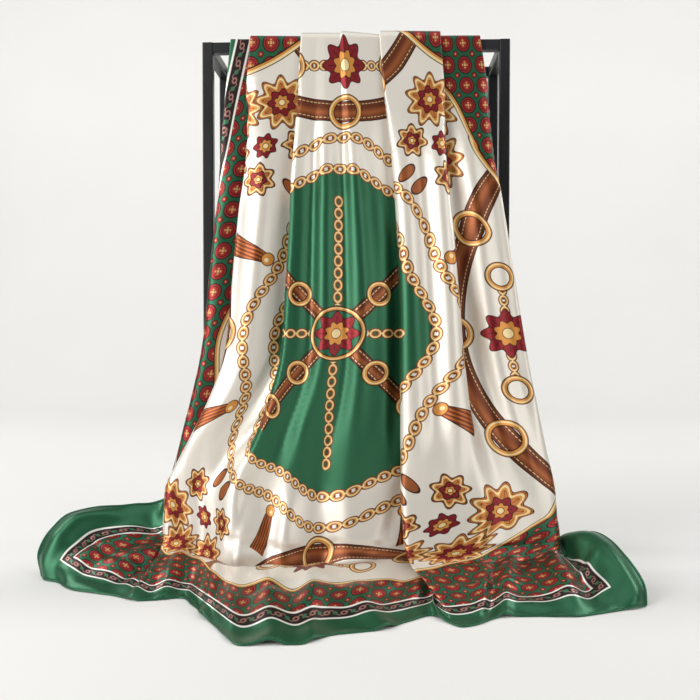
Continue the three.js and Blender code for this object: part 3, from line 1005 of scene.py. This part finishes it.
def steel_material():
    """Powder-coated steel with a fine orange-peel grain."""
    material, tree, shader = new_material("black_powder_coat")
    grain = object_noise(tree, Scale=1100.0, Detail=2.0)
    cloud = object_noise(tree, Scale=14.0)
    tone = tone_between(tree, cloud, "141416", "232326")
    gloss = add_node(tree, "ShaderNodeMapRange", {"Value": cloud, "To Min": 0.3, "To Max": 0.46})
    bump = add_node(tree, "ShaderNodeBump", {"Strength": 0.12, "Distance": 0.0003, "Height": grain})
    set_inputs(tree, shader, {"Base Color": tone, "Roughness": gloss, "Normal": bump})
    return material


def paper_material():
    """Matt studio paper, a little uneven in tone."""
    material, tree, shader = new_material("studio_paper")
    tone = tone_between(tree, object_noise(tree, Scale=3.0), "F1F0ED", "F5F4F1")
    set_inputs(tree, shader, {"Base Color": tone, "Roughness": 0.95})
    return material


def outward_normals(piece):
    """Turns every face of a closed mesh outward."""
    shape = bmesh.new()
    shape.from_mesh(piece.data)
    bmesh.ops.recalc_face_normals(shape, faces=shape.faces)
    shape.to_mesh(piece.data)
    shape.free()


# Least and most slant of a stitch round its three axes, in radians
LEAST_SLANT, MOST_SLANT = (-0.12, 0.1, -0.1), (0.12, 0.42, 0.1)

# What the stitch nodes are given, with the kind of each
STITCH_INPUTS = {
    "Lines": "Geometry",
    "Pitch": "Float",
    "Length": "Float",
    "Radius": "Float",
    "Seed": "Int",
    "Thread": "Material",
}


def stitch_nodes():
    """Geometry nodes that sew small stitches along lines, with a fixed seed."""
    sockets = STITCH_INPUTS, {"Stitches": "Geometry"}
    group, given, result = new_group("hem_stitching", "GeometryNodeTree", *sockets)

    def node(kind, inputs, **settings):
        return add_node(group, kind, inputs, **settings)

    curve = node("GeometryNodeMeshToCurve", {"Mesh": given["Lines"]})
    run = {"Curve": curve, "Length": given["Pitch"]}
    spaced = node("GeometryNodeCurveToPoints", run, mode="LENGTH")
    stitch = node("GeometryNodeMeshIcoSphere", {"Radius": 0.5, "Subdivisions": 1})
    width = node("ShaderNodeMath", {0: given["Radius"], 1: 2.0}, operation="MULTIPLY")
    size = node("ShaderNodeCombineXYZ", {"X": width, "Y": width, "Z": given["Length"]})
    limits = {0: LEAST_SLANT, 1: MOST_SLANT, "Seed": given["Seed"]}
    slant = node("FunctionNodeRandomValue", limits, data_type="FLOAT_VECTOR")
    angles = node("FunctionNodeEulerToRotation", {"Euler": slant})
    turn = {"Rotation": spaced.outputs["Rotation"], "Rotate By": angles}
    turned = node("FunctionNodeRotateRotation", turn, rotation_space="LOCAL")
    sewn = {"Points": spaced, "Instance": stitch, "Rotation": turned, "Scale": size}
    placed = node("GeometryNodeInstanceOnPoints", sewn)
    real = node("GeometryNodeRealizeInstances", {"Geometry": placed})
    coat = node("GeometryNodeSetMaterial", {"Geometry": real, "Material": given["Thread"]})
    feed(group, result["Stitches"], coat)
    return group


def run_stitch_nodes(context, lines, settings, thread):
    """Runs the stitch nodes on the lines and keeps the outcome as a plain mesh."""
    modifier = lines.modifiers.new("stitching", "NODES")
    modifier.node_group = stitch_nodes()
    values = {
        "Pitch": settings.pitch,
        "Length": settings.stitch_length,
        "Radius": settings.stitch_radius,
        "Seed": settings.seed,
        "Thread": thread,
    }
    for socket in modifier.node_group.interface.items_tree:
        if socket.in_out == "INPUT" and socket.name in values:
            modifier[socket.identifier] = values[socket.name]
    lines.update_tag()
    context.view_layer.update()
    graph = context.evaluated_depsgraph_get()
    mesh = bpy.data.meshes.new_from_object(lines.evaluated_get(graph))
    if not mesh.polygons:
        raise RuntimeError("The stitch nodes made no stitches")
    bpy.data.objects.remove(lines)
    if not mesh.materials:
        mesh.materials.append(thread)
    smooth_shade(link_object("hem_stitches", mesh))


# The photograph's frame in pixels, and where the floor lines meet in it
IMAGE_PIXELS = 700.0
FOCAL_PIXELS = 900.0
VANISH_X, VANISH_Y = 384.0, 326.0
# The camera's place from the rack's middle in millimetres, and its sensor
CAMERA_X, CAMERA_BACK, CAMERA_HEIGHT = 33.0, 1090.0, 276.0
SENSOR_WIDTH = 36.0

# Softboxes: name, place, what it points at, size, and the setting that holds its power
SOFTBOXES = (
    ("key_softbox", (-1.5, -1.35, 1.0), (0, -0.05, 0.3), (1.1, 2.0), "key_power"),
    ("fill_softbox", (1.6, -1.2, 0.9), (0, -0.05, 0.3), (0.9, 1.9), "fill_power"),
    ("top_softbox", (0.1, -0.5, 2.4), (0, 0, 0.1), (2.2, 1.6), "top_power"),
    ("backdrop_left", (-2.2, 0.6, 1.9), (0.4, 2.9, 0.8), (1.0, 1.6), "back_power"),
    ("backdrop_right", (2.2, 0.6, 1.9), (-0.4, 2.9, 0.8), (1.0, 1.6), "back_power"),
)

# The paper sweep: half width, front and back ends, height, and radius of its bend
SWEEP = {"half": 6.0, "front": -5.0, "back": 3.0, "height": 6.0, "bend": 1.2, "steps": 16}
UNDER_FLOOR = 0.00005


def paper_sweep():
    """A floor that curves up into a backdrop."""
    turn = SWEEP["back"] - SWEEP["bend"]
    profile = [(SWEEP["front"], 0.0), (turn, 0.0)]
    for i in range(1, SWEEP["steps"] + 1):
        angle = math.pi / 2 * i / SWEEP["steps"]
        profile.append((turn + SWEEP["bend"] * math.sin(angle), SWEEP["bend"] * (1 - math.cos(angle))))
    profile.append((SWEEP["back"], SWEEP["height"]))
    points = [(x, y, z - UNDER_FLOOR) for y, z in profile for x in (-SWEEP["half"], SWEEP["half"])]
    faces = [(2 * i, 2 * i + 1, 2 * i + 3, 2 * i + 2) for i in range(len(profile) - 1)]
    sweep = new_mesh_object("studio_sweep", points, [], faces)
    smooth_shade(sweep)
    return sweep


def area_light(name, place, target, size, power):
    data = bpy.data.lights.new(name, "AREA")
    data.shape = "RECTANGLE"
    data.size, data.size_y = size
    data.energy = power
    light = link_object(name, data)
    light.location = place
    light.rotation_euler = (Vector(target) - Vector(place)).to_track_quat("-Z", "Y").to_euler()


class ScarfClothSettings(bpy.types.PropertyGroup):
    thickness: bpy.props.FloatProperty(
        name="Thickness", description="Thickness of the silk", default=0.0006, unit="LENGTH"
    )
    rounding: bpy.props.IntProperty(
        name="Rounding", description="Rounds of smoothing that open the folds below the bar", default=6
    )
    falls: bpy.props.FloatProperty(
        name="Falls", description="Strength of the hand-placed falls and creases", default=1.2
    )
    unevenness: bpy.props.FloatProperty(
        name="Unevenness", description="Strength of the slight irregular waves", default=1.0
    )
    roughness: bpy.props.FloatProperty(
        name="Roughness", description="Roughness of the satin's face", default=0.4, subtype="FACTOR"
    )
    fading: bpy.props.FloatProperty(
        name="Fading", description="How much paler the reverse is", default=0.3, subtype="FACTOR"
    )


class ScarfHemSettings(bpy.types.PropertyGroup):
    radius: bpy.props.FloatProperty(
        name="Radius", description="Radius of the rolled hem on the floor", default=0.0011, unit="LENGTH"
    )
    sides: bpy.props.IntProperty(
        name="Sides", description="Faces round the rolled hem", default=8
    )
    pitch: bpy.props.FloatProperty(
        name="Stitch pitch", description="Distance from stitch to stitch", default=0.0034, unit="LENGTH"
    )
    stitch_length: bpy.props.FloatProperty(
        name="Stitch length", description="Length of one stitch", default=0.0019, unit="LENGTH"
    )
    stitch_radius: bpy.props.FloatProperty(
        name="Stitch radius", description="Radius of the thread", default=0.00022, unit="LENGTH"
    )
    seed: bpy.props.IntProperty(
        name="Seed", description="Seed of the stitches' slight differences", default=7
    )


class ScarfStageSettings(bpy.types.PropertyGroup):
    key_power: bpy.props.FloatProperty(
        name="Key light", description="Power of the large softbox on the left", default=32.5, unit="POWER"
    )
    fill_power: bpy.props.FloatProperty(
        name="Fill light", description="Power of the softbox on the right", default=10.0, unit="POWER"
    )
    top_power: bpy.props.FloatProperty(
        name="Top light", description="Power of the softbox above", default=11.5, unit="POWER"
    )
    back_power: bpy.props.FloatProperty(
        name="Backdrop light", description="Power of the lights on the backdrop", default=37.0, unit="POWER"
    )
    ambient: bpy.props.FloatProperty(
        name="Ambient", description="Strength of the even light from all round", default=0.14
    )


class SCARF_OT_camera(bpy.types.Operator):
    """Puts the camera where the rack's lines in perspective say that it stood"""

    bl_idname = "scarf.camera"
    bl_label = "Camera"

    def execute(self, context):
        data = bpy.data.cameras.new("camera")
        camera = link_object("camera", data)
        data.sensor_width = SENSOR_WIDTH
        data.lens = FOCAL_PIXELS / IMAGE_PIXELS * SENSOR_WIDTH
        centre = IMAGE_PIXELS / 2
        turn_left = math.atan((VANISH_X - centre) / FOCAL_PIXELS)
        pitch_down = math.atan((centre - VANISH_Y) / FOCAL_PIXELS)
        camera.location = RACK_MIDDLE + Vector((CAMERA_X, -CAMERA_BACK, CAMERA_HEIGHT)) * MM
        camera.rotation_euler = (math.pi / 2 - pitch_down, 0, turn_left)
        context.scene.camera = camera
        return {"FINISHED"}


class SCARF_OT_cloth(bpy.types.Operator):
    """Builds the draped satin square as a thin closed shell with its print"""

    bl_idname = "scarf.cloth"
    bl_label = "Satin square"

    def execute(self, context):
        settings = context.scene.scarf_cloth
        cloth = finished_cloth(settings)
        grid, normal = cloth["grid"], cloth["normal"]
        if not np.isfinite(grid).all():
            raise RuntimeError("The cloth's folds give points that are not numbers")
        half = settings.thickness / MM / 2
        points = np.concatenate((to_scene(grid + normal * half), to_scene(grid - normal * half)))
        face, back, edge = shell_faces(*grid.shape[:2])
        piece = new_mesh_object("scarf_satin", points, [], face + back + edge)
        smooth_shade(piece)
        places = cloth["flat"].reshape(-1, 2)
        set_flat_uv(piece, np.concatenate((places, places)))
        design, weave = print_group(), weave_group()
        sides = (("satin_face", 0.0, 0.0), ("satin_reverse", REVERSE_ROUGHER, settings.fading))
        for name, rougher, fading in sides:
            satin = satin_material(name, design, weave, settings.roughness + rougher, fading)
            piece.data.materials.append(satin)
        index = np.zeros(len(piece.data.polygons), dtype=np.int32)
        index[len(face) : len(face) + len(back)] = 1
        piece.data.polygons.foreach_set("material_index", index)
        DRAPED.update(cloth)
        return {"FINISHED"}


class SCARF_OT_hem(bpy.types.Operator):
    """Rolls the four edges of the square into a thin round hem"""

    bl_idname = "scarf.hem"
    bl_label = "Rolled hem"

    def execute(self, context):
        if not DRAPED:
            raise RuntimeError("The satin square comes first, because the hem runs along its edges")
        settings = context.scene.scarf_hem
        points, faces, places = [], [], []
        start = 0
        for centre, normal, inward, flat, along in hem_lines(DRAPED):
            radius = hem_radius(settings, along)
            middle = centre.copy()
            middle[:, 2] = np.maximum(middle[:, 2], radius[:, 0] + FLOOR_GAP)
            for k in range(settings.sides):
                angle = 2 * math.pi * k / settings.sides
                points.append(middle + radius * (normal * math.sin(angle) + inward * math.cos(angle)))
                places.append(flat)
            faces += tube_faces(start, len(centre), settings.sides)
            start += settings.sides * len(centre)
        hem = new_mesh_object("scarf_hem", to_scene(np.concatenate(points)), [], faces)
        outward_normals(hem)
        smooth_shade(hem)
        set_flat_uv(hem, np.concatenate(places))
        hem.data.materials.append(bpy.data.materials["satin_face"])
        return {"FINISHED"}


class SCARF_OT_stitches(bpy.types.Operator):
    """Sews the hem down with small stitches along all four edges"""

    bl_idname = "scarf.stitches"
    bl_label = "Hem stitches"

    def execute(self, context):
        if not DRAPED:
            raise RuntimeError("The satin square comes first, because the stitches run along its edges")
        settings = context.scene.scarf_hem
        points, edges = [], []
        start = 0
        for centre, normal, inward, _, along in hem_lines(DRAPED):
            radius = hem_radius(settings, along)
            line = centre + inward * (radius + STITCH_INSET) + normal * (radius * STITCH_RISE)
            line[:, 2] = np.maximum(line[:, 2], settings.stitch_length / MM * STITCH_LIFT)
            points.append(line)
            edges += [(start + i, start + i + 1) for i in range(len(line) - 1)]
            start += len(line)
        lines = new_mesh_object("stitch_lines", to_scene(np.concatenate(points)), edges, [])
        run_stitch_nodes(context, lines, settings, thread_material())
        return {"FINISHED"}


class SCARF_OT_rack(bpy.types.Operator):
    """Gives the rack's square tubes their powder-coated steel"""

    bl_idname = "scarf.rack"
    bl_label = "Rack finish"

    def execute(self, context):
        steel = steel_material()
        tubes = [node for name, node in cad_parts.items() if name.startswith("rack_")]
        if not tubes:
            raise RuntimeError("The frame holds no rack tubes to finish")
        for tube in tubes:
            tube.data.materials.clear()
            tube.data.materials.append(steel)
        return {"FINISHED"}


class SCARF_OT_stage(bpy.types.Operator):
    """Adds the pale paper sweep and the soft studio lights"""

    bl_idname = "scarf.stage"
    bl_label = "Stage and lights"

    def execute(self, context):
        settings = context.scene.scarf_stage
        sweep = paper_sweep()
        sweep.data.materials.append(paper_material())
        for name, place, target, size, part in SOFTBOXES:
            area_light(name, place, target, size, getattr(settings, part))
        world = bpy.data.worlds.new("studio")
        context.scene.world = world
        world.use_nodes = True
        sky = world.node_tree.nodes["Background"]
        sky.inputs["Color"].default_value = (0.98, 0.98, 0.97, 1)
        sky.inputs["Strength"].default_value = settings.ambient
        context.scene.view_settings.view_transform = "Standard"
        return {"FINISHED"}


class SCARF_OT_declare(bpy.types.Operator):
    """Says what each piece rides on, and hides the frame's own cloth part"""

    bl_idname = "scarf.declare"
    bl_label = "Declare pieces"

    def execute(self, context):
        cloth = bpy.data.objects["scarf_satin"]
        trims = [bpy.data.objects[name] for name in ("scarf_hem", "hem_stitches")]
        for piece in [cloth] + trims:
            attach(piece, "root")
        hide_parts("scarf_cloth")
        return {"FINISHED"}


class SCARF_PT_panel(bpy.types.Panel):
    """Lists the scarf's steps and their settings"""

    bl_label = "Silk scarf"
    bl_idname = "SCARF_PT_panel"
    bl_space_type = "VIEW_3D"
    bl_region_type = "UI"
    bl_category = "Scarf"

    def draw(self, context):
        layout = self.layout
        for settings in ("scarf_cloth", "scarf_hem", "scarf_stage"):
            box = layout.box()
            group = getattr(context.scene, settings)
            for name in group.bl_rna.properties.keys():
                if name not in ("rna_type", "name"):
                    box.prop(group, name)
        for operator in STEPS:
            layout.operator(operator.bl_idname)


SETTINGS = {
    "scarf_cloth": ScarfClothSettings,
    "scarf_hem": ScarfHemSettings,
    "scarf_stage": ScarfStageSettings,
}
STEPS = (
    SCARF_OT_camera,
    SCARF_OT_cloth,
    SCARF_OT_hem,
    SCARF_OT_stitches,
    SCARF_OT_rack,
    SCARF_OT_stage,
    SCARF_OT_declare,
)


def register():
    for settings in SETTINGS.values():
        bpy.utils.register_class(settings)
    for name, settings in SETTINGS.items():
        setattr(bpy.types.Scene, name, bpy.props.PointerProperty(type=settings))
    for operator in STEPS:
        bpy.utils.register_class(operator)
    bpy.utils.register_class(SCARF_PT_panel)


def unregister():
    bpy.utils.unregister_class(SCARF_PT_panel)
    for operator in reversed(STEPS):
        bpy.utils.unregister_class(operator)
    for name in SETTINGS:
        delattr(bpy.types.Scene, name)
    for settings in reversed(SETTINGS.values()):
        bpy.utils.unregister_class(settings)


def main():
    register()
    bpy.ops.scarf.camera()
    bpy.ops.scarf.cloth()
    bpy.ops.scarf.hem()
    bpy.ops.scarf.stitches()
    bpy.ops.scarf.rack()
    bpy.ops.scarf.stage()
    bpy.ops.scarf.declare()


if __name__ == "__main__":
    main()
